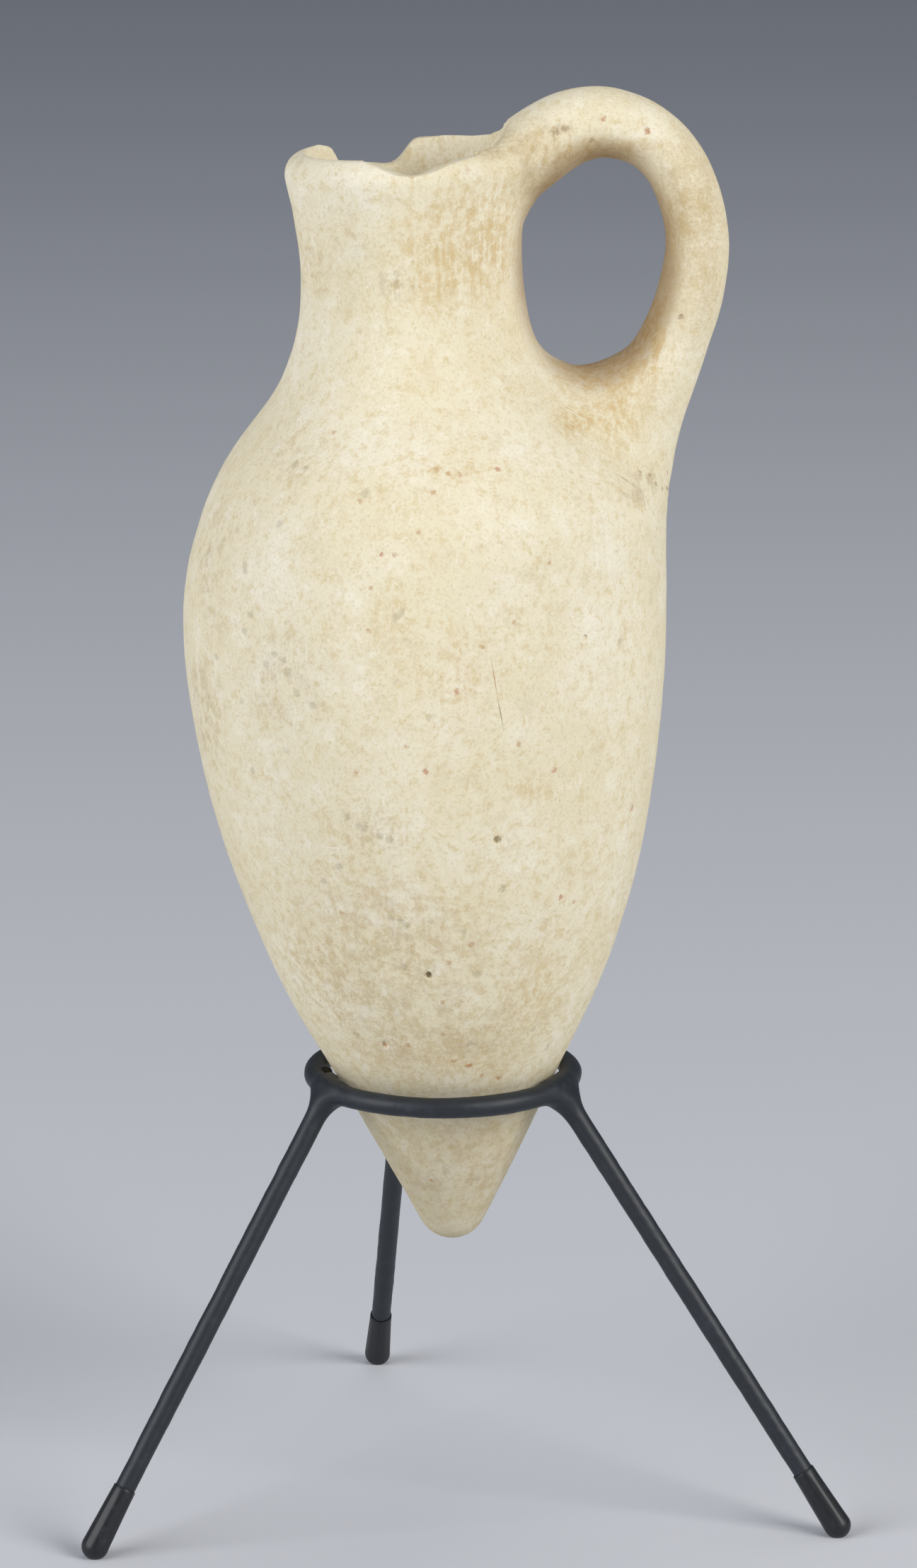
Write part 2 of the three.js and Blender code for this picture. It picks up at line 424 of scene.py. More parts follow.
marks = {                   # places are pixels of the photograph, sizes are millimetres
    # hollows cut into the clay: x, y, radius, depth
    "pits": [
        (606, 1378, 0.46, 7.0), (702, 1187, 0.5, 1.1), (827, 901, 0.4, 0.3), (544, 1475, 0.4, 0.35),
        (672, 217, 0.6, 0.5), (852, 168, 0.5, 0.2), (915, 184, 0.35, 0.2), (963, 448, 0.35, 0.2),
        (788, 187, 0.8, 0.2), (893, 1142, 0.3, 0.3),
    ],
    # round stains, by colour and radius
    "stains": {
        ("ember", 0.4): [
            (827, 901), (793, 1268), (544, 1476), (703, 664), (603, 1090), (852, 168), (915, 184),
            (783, 1089), (540, 783), (646, 978), (664, 1506), (705, 1523), (893, 1143),
        ],
        ("rust", 0.36): [
            (503, 1092), (733, 1052), (634, 1360), (667, 1336), (524, 832), (520, 892), (591, 752),
            (611, 696), (728, 881), (777, 796), (471, 611), (509, 709), (574, 1056), (483, 1290),
            (682, 915), (558, 785), (811, 1274), (626, 1417), (609, 1668), (616, 664), (650, 672),
            (634, 668), (578, 1477), (625, 1462), (640, 1500), (680, 1520),
        ],
        ("olive", 0.55): [
            (567, 867), (560, 871), (514, 1171), (506, 1166), (491, 1154), (537, 1183), (551, 1186),
            (357, 1090), (346, 892), (388, 924), (402, 933), (377, 940), (419, 980), (442, 997),
            (306, 928), (417, 656), (433, 662), (395, 740), (335, 749), (458, 1245), (553, 1297),
            (566, 1301), (576, 1307), (657, 1317), (570, 1367), (675, 1377), (665, 1474), (504, 1462),
            (753, 1455), (710, 1257), (876, 907), (480, 1226), (355, 868), (346, 799), (346, 806),
        ],
        ("umber", 0.4): [
            (787, 187), (799, 181), (672, 217), (918, 672), (927, 684),
            (936, 690), (905, 668), (943, 668), (943, 690), (961, 448), (836, 198),
        ],
        ("dark", 0.42): [(702, 1187), (606, 1378)],
    },
    # thin lines: two ends, half width, colour
    "scratches": [
        ((694, 930), (703, 985), 0.09, "rust"), ((703, 985), (712, 1033), 0.11, "olive"),
        ((433, 903), (434, 948), 0.13, "chalk"), ((454, 1197), (487, 1199), 0.13, "chalk"),
        ((566, 1371), (601, 1380), 0.09, "chalk"), ((803, 609), (875, 671), 0.12, "chalk"),
        ((770, 590), (842, 652), 0.1, "chalk"), ((842, 560), (868, 628), 0.1, "chalk"),
        ((790, 572), (832, 596), 0.1, "chalk"), ((884, 590), (893, 640), 0.1, "chalk"),
        ((893, 655), (944, 702), 0.2, "rust"), ((868, 668), (900, 690), 0.14, "olive"),
        ((745, 488), (758, 546), 0.13, "chalk"), ((762, 520), (795, 566), 0.13, "chalk"),
        ((801, 520), (812, 562), 0.14, "chalk"), ((822, 545), (872, 590), 0.13, "chalk"),
        ((880, 505), (930, 470), 0.11, "chalk"),
    ],
    # soft patches: middle, radius across, radius upwards, amount
    # Painted shade, with some stain: the patches along the underside of the handle's loop, at (860,
    # 212) to (862, 214) in this list and the two below, and at (942, 290)
    "warm": [
        ((650, 350), 8.5, 8.5, 1.1), ((615, 385), 3, 6, 0.4), ((702, 330), 4, 9, 0.5),
        ((836, 528), 5, 3.0, 1.4), ((905, 500), 3.6, 4.5, 1.5), ((925, 440), 2.2, 6, 1.1),
        ((815, 594), 3.2, 2.2, 1.5), ((874, 588), 3.2, 4, 1.2), ((798, 210), 4, 3, 0.55),
        ((860, 214), 7, 1.6, 0.5), ((437, 365), 2.5, 6, 0.4), ((605, 215), 5, 3, 0.4),
        ((640, 960), 6, 8, 0.45), ((752, 1110), 3, 3, 0.6), ((450, 1350), 5, 10, 0.4),
        ((560, 1300), 14, 12, 0.3), ((760, 1420), 6, 8, 0.3), ((557, 880), 3, 4, 0.4),
        ((640, 670), 7, 2.5, 0.4), ((600, 1500), 14, 5, 0.4), ((750, 1370), 5, 8, 0.3),
    ],
    "agedAndShade": [
        ((985, 250), 4, 9, 0.8), ((1000, 330), 4, 8, 0.7), ((985, 430), 4, 7, 0.7),
        ((860, 212), 9, 1.8, 0.8), ((760, 250), 4, 7, 0.7), ((950, 330), 2.5, 9, 0.7),
        ((705, 203), 5, 2.2, 0.7), ((900, 560), 5, 5, 0.4), ((600, 1480), 16, 5, 0.35),
    ],
    "grimeAndShade": [
        ((292, 1010), 3, 8, 0.9), ((300, 800), 3, 10, 0.7), ((400, 960), 7, 7, 0.45),
        ((520, 1180), 5, 4, 0.6), ((560, 1320), 13, 8, 0.45), ((470, 1380), 7, 8, 0.35),
        ((440, 380), 3, 8, 0.4), ((650, 1640), 14, 12, 0.6), ((600, 1440), 14, 8, 0.4),
        ((903, 686), 3, 2.2, 1.3), ((794, 186), 2.2, 1.6, 1.5), ((420, 640), 6, 5, 0.35),
        ((862, 214), 8, 1.8, 0.9), ((942, 290), 2.2, 6, 0.9), ((775, 240), 4, 6, 1.2),
        ((700, 1480), 6, 4, 0.3), ((560, 402), 2.6, 2.2, 1.2), ((705, 204), 4, 1.8, 1.0),
        ((500, 350), 2.5, 2.5, 0.4),
    ],
    "fresh": [
        ((860, 800), 8, 22, 0.7), ((500, 260), 7, 7, 0.6), ((760, 640), 6, 4, 0.6),
        ((400, 780), 5, 9, 0.35), ((550, 620), 8, 4, 0.4), ((990, 330), 3, 10, 0.4),
        ((880, 1150), 4, 16, 0.5),
    ],
}

clay = {
    "cream": "E6DCBD",
    "chalk": "F3EEDD",
    "straw": "D9C89C",
    "tan": "C4AE80",
    "ochre": "C49A52",
    "rust": "B27E42",
    "ember": "B0642A",
    "olive": "8E7F5E",
    "soil": "9A8760",
    "umber": "8E6E48",
    "dark": "3B2A1C",
    # how strongly the stains of each colour show
    "strengths": {"ember": 0.62, "rust": 0.5, "olive": 0.3, "umber": 0.5, "dark": 0.92},
    "scratch": 0.7,
    "hairWidth": 0.016,            # of fine pale lines, as a step of their noise
    "hairStrength": 0.55,
    # noise patterns: blob size, detail, roughness
    "clouds": {
        "grain": (0.45, 3, 0.65), "crumbs": (1.5, 4, 0.7), "mottle": (3.4, 4, 0.68),
        "flakes": (4.4, 5, 0.72), "broad": (15, 3, 0.55), "upright": (0.95, 3, 0.62),
        "slanted": (2.6, 2, 0.4),
    },
    "wander": (1.3, 0.9),          # how patterns stray: blob size, amount
    "shiver": (0.4, 0.9),
    # washes of colour: the pattern's values where one starts and is full, colour, strength
    "washes": {
        "fresh": (0.25, 0.6, "chalk", 0.6),
        "mottle": (0.5, 0.72, "tan", 0.25),
        "crumbs": (0.48, 0.68, "straw", 0.7),
        "flakes": (0.53, 0.64, "chalk", 0.42),
        "darkGrain": (0.5, 0.72, "tan", 0.38),
        "paleGrain": (0.46, 0.28, "chalk", 0.38),
        "agedAndShade": (0.2, 0.62, "tan", 0.6),
        "warm": (0.42, 0.62, "ochre", 0.33),
        "grimeAndShade": (0.42, 0.64, "umber", 0.34),
        "lowSoilAndShade": (72, 60, "soil", 0.3),        # by height; darker below the ring, partly soil and partly painted shade
    },
    "lowBellyDirtAndShade": (118, 78),         # heights where the low belly's darkening, partly dirt and partly painted shade, starts and is full
    # scattered specks: shift, spacing, radius, share, softness, colour, strength
    "specks": {
        "freckles": ((0, 0, 0), 3.6, 0.42, 0.5, 0.9, "rust", 0.3),
        "smuts": ((31, 7, 13), 5.5, 0.8, 0.45, 1.0, "olive", 0.3),
        "sparks": ((5, 17, 41), 9.0, 0.4, 0.4, 0.6, "ember", 0.4),
    },
    # painted shade and dirt round the inside of the handle's loop
    "loopCentre": (18.4, -11.7, 187.0),
    "loopSize": (10.1, 40.0, 15.2),
    "loopShadeAndGrime": 0.85,
    "roughness": 0.8,
    "specular": 0.3,
    "bump": (0.65, 0.1),           # strength, depth
}


def clayMaterial(placeOf):
    material, shader, place = newMaterial("firedClay")

    def straying(size, amount):
        random = place.cloud(size, output="Color").vector("SUBTRACT", (0.5, 0.5, 0.5))
        return random.stretched(amount, amount, amount)

    def patches(name):
        total = place.zone(placeOf(marks[name][0][0]), *marks[name][0][1:])
        for pixel, *shape in marks[name][1:]:
            total = total + place.zone(placeOf(pixel), *shape)
        return total

    def washed(name, pattern, where=None):
        # the colour so far under one thin wash, only in the given places if there are any
        low, high, tint, strength = clay["washes"][name]
        mask = pattern.rise(low, high)
        return colour.tinted(where * mask if where else mask, clay[tint], strength)

    loose = place.vector("ADD", straying(*clay["wander"]))
    ragged = loose.vector("ADD", straying(*clay["shiver"]))
    warm, agedAndShade, grimeAndShade, fresh = (patches(name) for name in ("warm", "agedAndShade", "grimeAndShade", "fresh"))
    height = place.part(2)
    # darker towards the bottom: partly dirt, partly painted shade
    low = height.rise(*clay["lowBellyDirtAndShade"])

    clouds = clay["clouds"]
    grain = place.cloud(*clouds["grain"])
    crumbs = loose.cloud(*clouds["crumbs"])
    mottle = loose.cloud(*clouds["mottle"])
    flakes = loose.vector("ADD", (9, 23, 3)).cloud(*clouds["flakes"])
    broad = place.cloud(*clouds["broad"])
    upright = place.stretched(1, 1, 0.11).cloud(*clouds["upright"])
    slanted = place.vector("ADD", (3, 11, 5)).stretched(1, 1, 0.4).cloud(*clouds["slanted"])

    colour = (broad.rise(0.4, 0.7) * 0.4).between(clay["cream"], clay["chalk"])
    colour = washed("fresh", upright, fresh)
    colour = washed("mottle", mottle + grimeAndShade * 0.05 + low * 0.015)
    colour = washed("crumbs", crumbs + warm * 0.08 + low * 0.04)
    colour = washed("flakes", flakes + fresh * 0.05 - warm * 0.04)
    colour = washed("darkGrain", grain)
    colour = washed("paleGrain", grain)
    hairs = (1 - (slanted - 0.5).size().rise(0, clay["hairWidth"])) * crumbs.rise(0.5, 0.56)
    colour = colour.tinted(hairs, clay["chalk"], clay["hairStrength"])
    # these three washes also lay painted shade, with some stain, along the underside of the handle's
    # loop
    colour = washed("agedAndShade", mottle * 0.5 + grain * 0.5, agedAndShade)
    colour = washed("warm", upright * 0.65 + crumbs * 0.35, warm)
    colour = washed("grimeAndShade", mottle * 0.35 + crumbs * 0.35 + upright * 0.3, grimeAndShade + low * 0.12)
    # darker below the ring: partly soil, partly painted shade
    colour = washed("lowSoilAndShade", height)

    # painted shade, with some dirt: umber darkening round the inside of the handle's loop
    loop = place.vector("SUBTRACT", clay["loopCentre"]).vector("DIVIDE", clay["loopSize"])
    shade = loop.vector("LENGTH", (0, 0, 0), "Value") + (crumbs - 0.5) * 0.12
    colour = colour.tinted(shade.rise(1.3, 1.0) * clay["loopShadeAndGrime"], clay["umber"], 0.75)

    specks = {}
    for name, (shift, *shape, tint, strength) in clay["specks"].items():
        specks[name] = ragged.vector("ADD", shift).dots(*shape)
        colour = colour.tinted(specks[name], clay[tint], strength)
    for (name, radius), pixels in marks["stains"].items():
        spots = ragged.nearest([placeOf(pixel) for pixel in pixels], radius)
        colour = colour.tinted(spots, clay[name], clay["strengths"][name])
    for start, end, width, name in marks["scratches"]:
        line = place.nearLine(placeOf(start), placeOf(end), width)
        colour = colour.tinted(line, clay[name], clay["scratch"])

    relief = grain * 0.6 + crumbs * 0.6 + upright * 0.4 - hairs * 0.3
    relief = relief - (specks["freckles"] + specks["sparks"]) * 0.5
    roughness = clay["roughness"] + crumbs * 0.1 - fresh * 0.06
    link(shader, {"Base Color": colour, "Normal": relief.bumped(*clay["bump"]), "Roughness": roughness})
    shader.inputs["Specular IOR Level"].default_value = clay["specular"]
    return material


# Juglet

juglet = {
    "tip": (1.55, 0.0, 39.4),      # from the ring's centre on the floor
    "lean": 2.7,
    "rim": 164.0,
    "nose": 5.3,
    "noseRows": 7,
    # height, radius, and how far the section is pushed towards the handle
    "outside": [
        (3.2, 4.9, 0.1), (10, 8.4, 0.35), (25, 15.95, 0.45), (40, 23.6, 0.5), (55, 29.05, 0.4),
        (70, 32.7, 0.2), (85, 34.9, 0.15), (96, 35.4, 0.35), (104, 35.0, 1.0), (110, 34.2, 2.0),
        (115, 32.6, 2.4), (121, 28.6, 2.0), (129, 21.3, 1.2), (135, 17.85, 0.75),
        (141, 16.45, 0.85), (148, 16.1, 0.9), (156, 16.8, 0.8),
    ],
    # depth below the rim and radius
    "lip": [
        (4.6, 17.45), (3.3, 17.65), (2.2, 17.5), (1.2, 17.0), (0.5, 16.3), (0.1, 15.5), (0.0, 14.9),
    ],
    "topRadii": (12.0, 6.0),       # rings that close the solid across its top
    # height and radius
    "inside": [
        (11, 2.6), (25, 11.0), (40, 18.7), (55, 24.6), (70, 28.5), (85, 30.8), (97, 31.3),
        (106, 30.0), (113, 27.4), (120, 22.6), (128, 17.0), (135, 13.6), (145, 12.3),
        (155, 13.0), (162.3, 13.7),
    ],
    "hollowFloor": (9.0, 0.8),
    "flare": [(163.3, 14.1), (163.9, 14.3), (164.6, 14.45), (166.3, 14.6), (168.2, 15.6), (176, 18.0)],
    "insideShift": 0.75,
    # handle's centre line x and z, half thickness, half width
    "handle": [
        (-4.5, 188.0, 2.5, 3.0), (-1.2, 190.8, 4.6, 6.2), (2.6, 194.1, 6.0, 9.2),
        (7.8, 198.8, 6.0, 9.0), (13.2, 202.9, 5.8, 8.4), (18.4, 206.0, 5.5, 7.2),
        (24.0, 206.7, 5.2, 6.4), (29.9, 204.5, 4.85, 6.2), (34.35, 199.3, 4.7, 6.2),
        (36.75, 190.8, 4.6, 6.2), (36.0, 182.8, 4.8, 6.3), (33.9, 176.3, 5.0, 6.6),
        (31.4, 170.9, 5.9, 7.2), (27.8, 166.1, 8.4, 8.6), (23.8, 161.5, 12.0, 10.2),
        (19.0, 156.0, 12.5, 9.5),
    ],
    # rim's breaks: direction in degrees, depth below the rim
    "breaks": [
        (52, -1.5), (62, -0.6), (70, 0.2), (78, 0.35), (84, 0.55), (87, 0.8), (89.5, 1.6), (92, 2.9),
        (95, 3.9), (101, 4.3), (106, 3.9), (111, 3.7), (117, 4.2), (126, 4.2), (131, 3.8),
        (135, 2.4), (138, 0.5), (142, 0.2), (150, -0.1), (160, -0.8), (225, -0.9), (240, -0.5),
        (248, 0.0), (253, 0.4), (258, 0.95), (264, 1.7), (270, 2.2), (275, 2.35), (280, 2.1),
        (284, 1.7), (291, 1.15), (299, 0.75), (306, 0.5), (312, 0.3), (318, -0.6),
    ],
    # roughness of a break's floor: blob size, seed, amount
    "breakRough": [(1.8, 3, 0.16), (4.5, 4, 0.224)],
    "breakStep": 2.0,       # degrees
    "breakRadii": (9.0, 23.5, 0.7),          # from, to, step
    "breakTop": 6.0,
    "wearDepths": (9.0, 5.0),      # wear fades in between these depths below the rim
    "wearRounds": 7,
    "sides": 250,
    "rowStep": 0.82,
    "lipStep": 0.5,
    "insideSides": 120,
    "insideRowStep": 2.4,
    "flareStep": 1.2,
    "handleSides": 60,
    "handleStep": 0.75,
    "blend": 6.2,
    "blendSpan": 1.6,       # points move within this many times the blend
    "blendAbove": 95.0,     # on the juglet's own axis
    "blendBehind": -4.0,    # from the ring's centre, towards the handle
    "seamAbove": 120.0,
    "seamReach": 0.5,
    "seamMerge": 0.3,
    # swellings, pared strips and unevenness: blob size, seed, amount
    "handmade": [(24, 1, 0.16), ((7, 7, 30), 2, 0.08), (3.2, 5, 0.0352)],
    "handmadeInward": 0.08,
    "pitLumps": (1.7, 3.1, 0.16),  # noise scale, its shift from pit to pit, amount
    "pitHeight": 1.3,       # times the radius
}


def onAxis(points):
    # from the juglet's own axis to the row's frame, both in millimetres
    lean = math.radians(juglet["lean"])
    x, y, z = points[:, 0], points[:, 1], points[:, 2]
    across = x * math.cos(lean) - z * math.sin(lean)
    up = x * math.sin(lean) + z * math.cos(lean)
    base = np.array(juglet["tip"]) + np.array(ringCentre())
    return np.stack([across, y, up], 1) + base


def offAxis(points):
    lean = math.radians(juglet["lean"])
    local = points - np.array(juglet["tip"]) - np.array(ringCentre())
    x = local[:, 0] * math.cos(lean) + local[:, 2] * math.sin(lean)
    z = -local[:, 0] * math.sin(lean) + local[:, 2] * math.cos(lean)
    return np.stack([x, local[:, 1], z], 1)


def makeBody():
    samples = smoothStations(juglet["outside"], juglet["rowStep"])
    top, nose, rows = juglet["rim"], juglet["nose"], juglet["noseRows"]
    outline = []
    for share in np.arange(1, rows) / rows:
        turn = math.acos(1 - samples[0][0] / nose) * share
        outline.append((nose * (1 - math.cos(turn)), nose * math.sin(turn)))
    outline += [tuple(row[:2]) for row in samples[:-1]]
    lip = [tuple(samples[-1][:2])] + [(top - below, radius) for below, radius in juglet["lip"]]
    outline += [tuple(row) for row in smoothStations(lip, juglet["lipStep"])]
    outline += [(top, radius) for radius in juglet["topRadii"]]
    verts, faces = turned(outline, juglet["sides"])
    verts[:, 0] += np.interp(verts[:, 2], samples[:, 0], samples[:, 2])
    return makeObject("juglet_body", onAxis(verts), faces)


def makeHollow():
    samples = smoothStations(juglet["inside"], juglet["insideRowStep"])
    flare = smoothStations([tuple(samples[-1])] + juglet["flare"], juglet["flareStep"])
    outline = [juglet["hollowFloor"]] + [tuple(row) for row in samples[:-1]]
    outline += [tuple(row) for row in flare]
    verts, faces = turned(outline, juglet["insideSides"])
    verts[:, 0] += juglet["insideShift"]
    return makeObject("juglet_hollow", onAxis(verts), faces)


def makeHandle():
    rows = smoothStations(juglet["handle"], juglet["handleStep"])
    along = np.gradient(rows[:, :2], axis=0)
    along /= np.linalg.norm(along, axis=1)[:, None]
    centres = np.stack([rows[:, 0], np.zeros(len(rows)), rows[:, 1]], 1) + np.array(ringCentre())
    outward = np.stack([-along[:, 1], np.zeros(len(rows)), along[:, 0]], 1)
    side = np.tile([0.0, 1.0, 0.0], (len(rows), 1))
    verts, faces = swept(centres, outward, side, rows[:, 2], rows[:, 3], juglet["handleSides"])
    return makeObject("juglet_handle", verts, faces)


def breakDepth(degrees):
    outline = np.array(juglet["breaks"], float)
    return np.interp(degrees, outline[:, 0], outline[:, 1])


def makeRimCutter():
    # a rough-bottomed block over the broken parts of the rim
    first, last = juglet["breaks"][0][0], juglet["breaks"][-1][0]
    turns = np.arange(first, last, juglet["breakStep"])
    radii = np.arange(*juglet["breakRadii"])
    rows = []
    for degrees in turns:
        x, y = math.cos(math.radians(degrees)), math.sin(math.radians(degrees))
        rows += [(radius * x, radius * y, juglet["rim"] - breakDepth(degrees)) for radius in radii]
    under = np.array(rows)
    under[:, 2] += unevenness(under, juglet["breakRough"])
    over = under.copy()
    over[:, 2] = juglet["rim"] + juglet["breakTop"]
    wide, long = len(radii), len(turns)
    faces = []
    for i in range(long - 1):
        for k in range(wide - 1):
            a = i * wide + k
            faces.append((a, a + wide, a + wide + 1, a + 1))
            faces.append(tuple(n + wide * long for n in (a, a + 1, a + wide + 1, a + wide)))
    edge = [i * wide for i in range(long)] + [(long - 1) * wide + k for k in range(1, wide)]
    edge += [i * wide + wide - 1 for i in range(long - 2, -1, -1)] + list(range(wide - 2, 0, -1))
    for a, b in zip(edge, edge[1:] + edge[:1]):
        faces.append((b, a, a + wide * long, b + wide * long))
    verts = np.concatenate([under, over])
    verts[:, 0] += juglet["insideShift"]
    return makeObject("rim_cutter", onAxis(verts), faces)


def makePits(tree):
    # one small lumpy ball for each pit, sunk into the surface, and a long one for the pinhole
    work = bmesh.new()
    scale, shift, amount = juglet["pitLumps"]
    for number, (*pixel, radius, depth) in enumerate(marks["pits"]):
        point, normal = surfaceAt(tree, pixel)
        turn = normal.to_track_quat("Z", "Y").to_matrix().to_4x4()
        size = Matrix.Diagonal((radius, radius * juglet["pitHeight"], depth, 1))
        place = Matrix.Translation(point * mm) @ turn @ size @ Matrix.Scale(mm, 4)
        ball = bmesh.ops.create_icosphere(work, subdivisions=2, radius=1.0)["verts"]
        for vert in ball:
            vert.co *= 1 + amount * noise.noise(vert.co * scale + Vector((number * shift, 0, 0)))
            vert.co = place @ vert.co
    mesh = bpy.data.meshes.new("pits")
    work.to_mesh(mesh)
    work.free()
    thing = bpy.data.objects.new("pits", mesh)
    bpy.context.scene.collection.objects.link(thing)
    return thing


def mendSeam(thing, trees):
    # merges the crowded points where the two surfaces cross and turns thin triangles round
    work = bmesh.new()
    work.from_mesh(thing.data)
    high = [v for v in work.verts if v.co.z > juglet["seamAbove"] * mm and v.co.x > ringCentre().x * mm]
    gaps = np.abs([nearest(tree, [v.co / mm for v in high])[0] for tree in trees]).max(axis=0)
    seam = [v for v, gap in zip(high, gaps) if gap < juglet["seamReach"]]
    bmesh.ops.remove_doubles(work, verts=seam, dist=juglet["seamMerge"] * mm)
    work.faces.ensure_lookup_table()
    work.faces.index_update()
    touching = {f.index for v in seam if v.is_valid for f in v.link_faces}
    around = {f.index for i in touching for v in work.faces[i].verts for f in v.link_faces}
    made = bmesh.ops.triangulate(work, faces=[work.faces[i] for i in sorted(around)])["faces"]
    work.edges.index_update()
    edges = sorted({e for f in made for e in f.edges}, key=lambda e: e.index)
    bmesh.ops.beautify_fill(work, faces=made, edges=edges)
    work.to_mesh(thing.data)
    work.free()
    thing.data.update()


def blendRoots(thing, trees):
    # smears the clay where the handle meets the neck and the shoulder
    mendSeam(thing, trees)
    points = getPoints(thing)
    first, second = (lambda near, tree=tree: nearest(tree, near) for tree in trees)
    beside = points[:, 0] > ringCentre().x + juglet["blendBehind"]
    chosen = np.where(beside & (offAxis(points)[:, 2] > juglet["blendAbove"]))[0]
    apart = np.maximum(np.abs(first(points[chosen])[0]), np.abs(second(points[chosen])[0]))
    chosen = chosen[apart < juglet["blendSpan"] * juglet["blend"]]
    joinSmoothly(points, getEdges(thing), chosen, first, second, juglet["blend"])
    setPoints(thing, points)


def wearRim(thing):
    # softens the whole rim and the edges of its breaks
    points = getPoints(thing)
    start, full = juglet["wearDepths"]
    weight = smoothStep(offAxis(points)[:, 2], juglet["rim"] - start, juglet["rim"] - full)
    setPoints(thing, relax(points, getEdges(thing), weight, juglet["wearRounds"]))


def shapeByHand(thing):
    # low swellings, pared strips down the body and a fine unevenness
    points = getPoints(thing)
    push = unevenness(points, juglet["handmade"]) - juglet["handmadeInward"]
    setPoints(thing, points + getNormals(thing) * push[:, None])


def makeJuglet():
    thing, handle = makeBody(), makeHandle()
    trees = surfaceTree(thing), surfaceTree(handle)
    combine(thing, handle, "UNION")
    triangulate(thing)
    blendRoots(thing, trees)
    combine(thing, makeHollow(), "DIFFERENCE")
    combine(thing, makeRimCutter(), "DIFFERENCE")
    triangulate(thing)
    wearRim(thing)
    shapeByHand(thing)
    tree = surfaceTree(thing)
    combine(thing, makePits(tree), "DIFFERENCE")
    triangulate(thing)
    thing.name = "clay_juglet"
    thing.data.polygons.foreach_set("use_smooth", [True] * len(thing.data.polygons))
    print("juglet:", len(thing.data.vertices), "points,", len(thing.data.polygons), "faces")
    return thing, tree


# Stand

stand = {
    "centre": (-3.67, -11.66),
    "rod": 1.55,
    "ringRadius": 19.15,
    "ringHeight": 65.1,
    "legs": {               # foot radius, foot direction, direction at the ring
        "left": (60.4, 210.8, 209.2),
        "right": (63.4, -20.4, -27.0),
        "rear": (58.7, 100.5, 107.0),
    },
    "spigot": 1.1,
    "spigotStart": 0.15,    # the rod is full from this far above the floor of the cap's snug hole
    "spigotTip": (0.4, 0.6),       # length of its taper and share of the radius left
    "legRow": 1.5,
    "legEnd": (1.2, 0.8),   # how far a leg runs on inside the ring's rod, and share of the radius left
    "gap": 0.3,
    "ringSides": 160,
    "rodSides": 24,
    "voxel": 0.36,
    "evenOut": (0.6, 3),    # weight and rounds of smoothing after the remesh
    "fillets": {"left": 3.5, "right": 4.2, "rear": 3.5},
    "filletReach": 14.0,    # how far from a joint points may move
    "filletAlong": 0.45,    # share of the fillet that is left where rod and ring run side by side
    "beads": [(193, 13, 1.8), (-6, 11, 0.35)],        # direction, spread, how far inwards
    "lumps": [(2.6, 7, 0.05), (9, 8, 0.05)],          # blob size, seed, amount
    "rustTurns": (186, 193, 201, 214),
    "rustRadius": 1.3,
    "rustInward": 2.2,
    "rustAbove": 1.0,
    "colour": "1C2229",
    "dust": "4A535F",
    "rust": "5A4332",
    "dusty": 0.25,          # how much dust and rust show
    "rusty": 0.5,
    "roughness": (0.5, 0.2),       # clean, and how much dust adds
    "bump": (0.3, 0.05),           # strength, depth
}


def ringCentre():
    return Vector((*stand["centre"], 0.0))


def legEnds(side):
    radius, footTurn, ringTurn = stand["legs"][side]
    footTurn, ringTurn = math.radians(footTurn), math.radians(ringTurn)
    ring, height = stand["ringRadius"], stand["ringHeight"]
    foot = Vector((radius * math.cos(footTurn), radius * math.sin(footTurn), 0))
    top = Vector((ring * math.cos(ringTurn), ring * math.sin(ringTurn), height))
    return foot + ringCentre(), top + ringCentre()


def onLeg(side, verts):
    # stands a shape that was turned about +Z onto a leg, from its foot upwards
    foot, top = legEnds(side)
    turn = Vector((0, 0, 1)).rotation_difference(top - foot)
    return np.array([turn @ Vector(v) + foot for v in verts])


def makeLeg(side):
    foot, top = legEnds(side)
    length = (top - foot).length
    rod, spigot, row = stand["rod"], stand["spigot"], stand["legRow"]
    start = cap["foot"] + stand["gap"]
    shoulder = cap["length"] - cap["grip"] + stand["spigotStart"]
    (tip, tipShare), (end, endShare) = stand["spigotTip"], stand["legEnd"]
    outline = [(start, tipShare * spigot), (start + tip, spigot), (shoulder, spigot), (shoulder, rod)]
    outline += [(height, rod) for height in np.arange(shoulder + row, length + row / 3, row)]
    outline += [(length + end, rod * endShare)]
    verts, faces = turned(outline, stand["rodSides"])
    return onLeg(side, verts), faces


def legField(side):
    foot, top = (np.array(end) for end in legEnds(side))
    along = (top - foot) / np.linalg.norm(top - foot)

    def field(points):
        place = np.minimum((points - foot) @ along, np.linalg.norm(top - foot))
        return awayFrom(points, foot + place[:, None] * along, stand["rod"])
    return field


def ringField(points):
    # the ring swells inwards where a bead of weld fills the angle
    middle = np.array(ringCentre()) + (0, 0, stand["ringHeight"])
    out = (points - middle) * (1, 1, 0)
    out /= np.linalg.norm(out, axis=1)[:, None]
    turns = np.degrees(np.arctan2(out[:, 1], out[:, 0]))
    swell = np.zeros(len(points))
    for turn, spread, extra in stand["beads"]:
        apart = (turns - turn + 180) % 360 - 180
        swell += extra * np.exp(-(apart / spread) ** 2)
    line = middle + out * (stand["ringRadius"] - swell)[:, None]
    distance, away = awayFrom(points, line, stand["rod"])
    outside, awayOut = awayFrom(points, middle + out * stand["ringRadius"], stand["rod"])
    return np.minimum(distance, outside), np.where((distance < outside)[:, None], away, awayOut)


